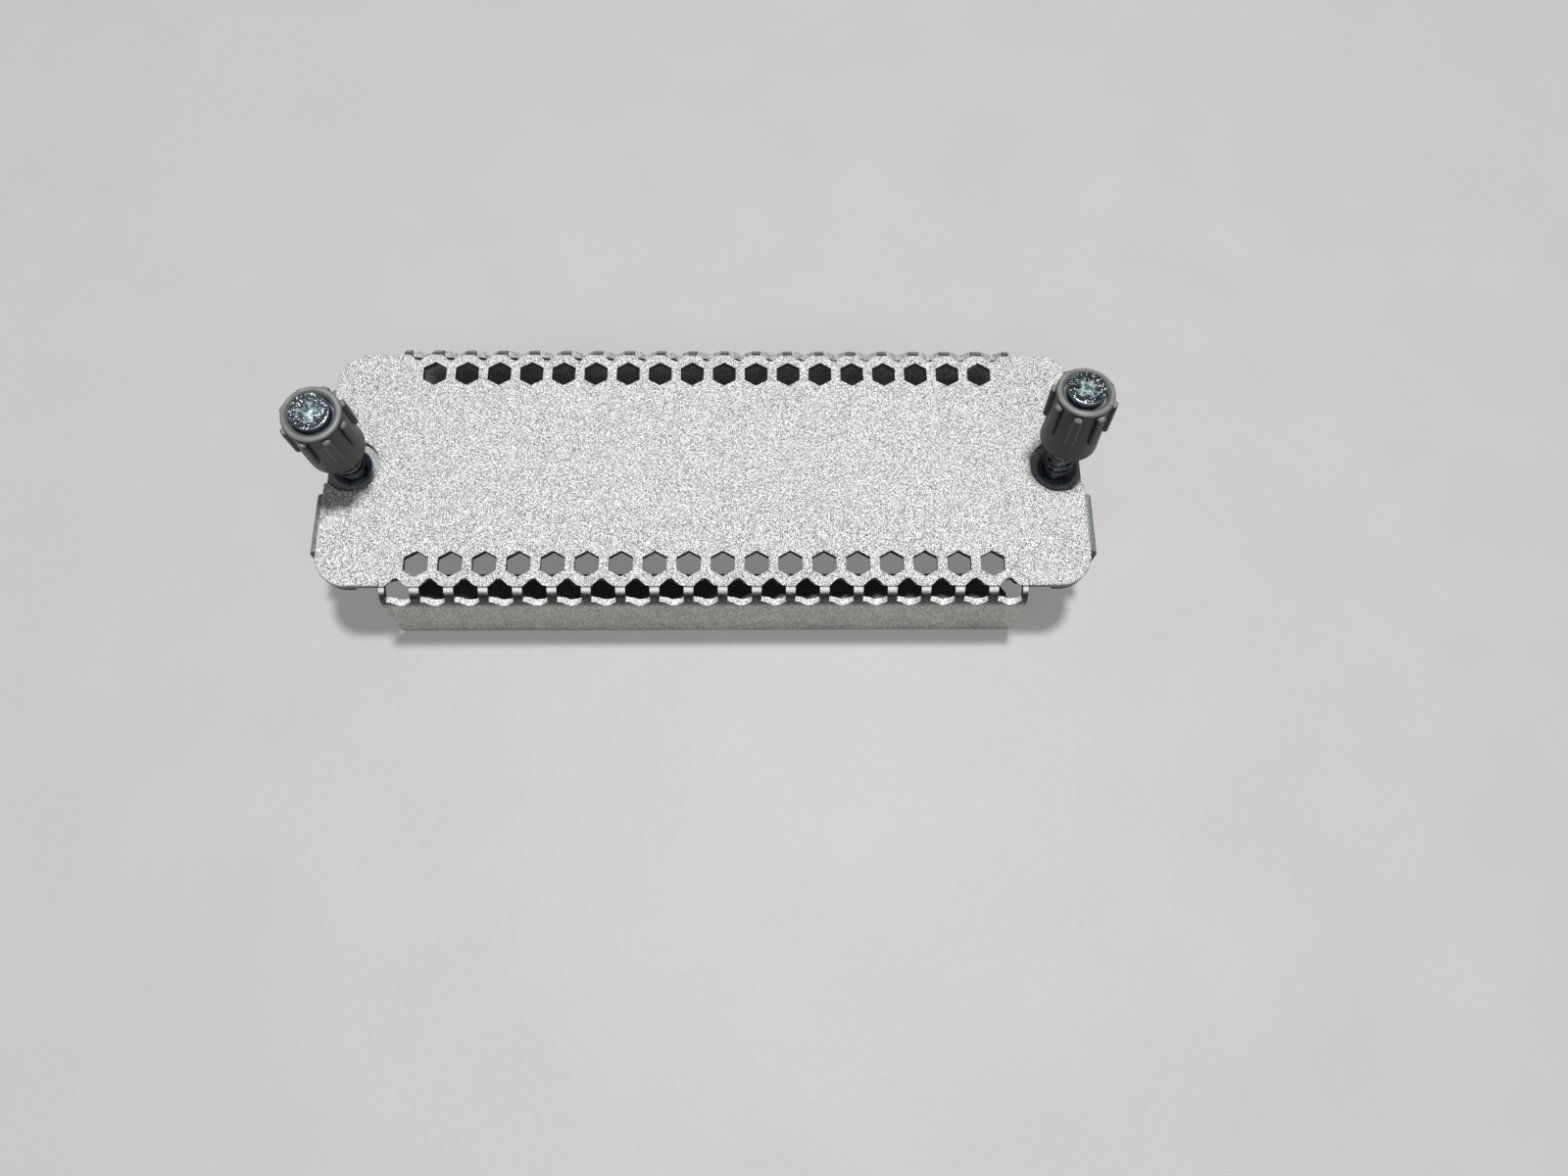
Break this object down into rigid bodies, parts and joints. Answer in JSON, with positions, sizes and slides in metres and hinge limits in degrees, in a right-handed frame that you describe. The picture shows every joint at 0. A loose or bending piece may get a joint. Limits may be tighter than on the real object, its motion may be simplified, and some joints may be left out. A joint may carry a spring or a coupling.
{
  "type": "module slot blank panel",
  "caption": "Perforated folded sheet panel with flanges and two captive spring thumbscrews, closes an empty module slot and lets air through.",
  "frame": {"origin": "on the standing surface, under the middle of the panel", "axes": "+X along the panel, +Y across it, +Z out of the painted face"},
  "size_m": [0.1176, 0.0428, 0.0372],
  "materials": {
    "painted_galvanised_sheet": "fine textured light grey paint on the face, bare galvanised flanges",
    "galvanised_sheet": "bare galvanised",
    "zinc_plated_steel": "bright zinc plate",
    "spring_steel": "drawn wire",
    "grey_plastic": "moulded, satin"
  },
  "bodies": {
    "panel": {"front_panel": "painted_galvanised_sheet", "left_end_bracket": "galvanised_sheet", "right_end_bracket": "galvanised_sheet", "left_retaining_bush": "zinc_plated_steel", "right_retaining_bush": "zinc_plated_steel"},
    "left_spring": {"left_spring": "spring_steel"},
    "left_thumbscrew": {"left_screw": "zinc_plated_steel", "left_knob": "grey_plastic"},
    "right_spring": {"right_spring": "spring_steel"},
    "right_thumbscrew": {"right_screw": "zinc_plated_steel", "right_knob": "grey_plastic"}
  },
  "joints": [
    {"name": "left_screw_press", "type": "slide", "parent": "panel", "child": "left_spring", "axis": [-0.0209, 0.0784, -0.9967], "range_m": [0, 0.0065], "stiffness_N_per_m": 400, "springref_m": -0.003, "deforming": ["left_spring"]},
    {"name": "left_screw_turn", "type": "hinge", "parent": "left_spring", "child": "left_thumbscrew", "pos_m": [-0.0536, 0, 0.0157], "axis": [0.0209, -0.0784, 0.9967], "continuous": true},
    {"name": "right_screw_press", "type": "slide", "parent": "panel", "child": "right_spring", "axis": [0.0087, -0.1045, -0.9945], "range_m": [0, 0.0065], "stiffness_N_per_m": 400, "springref_m": -0.003, "deforming": ["right_spring"]},
    {"name": "right_screw_turn", "type": "hinge", "parent": "right_spring", "child": "right_thumbscrew", "pos_m": [0.0536, 0, 0.0157], "axis": [-0.0087, 0.1045, 0.9945], "continuous": true}
  ]
}
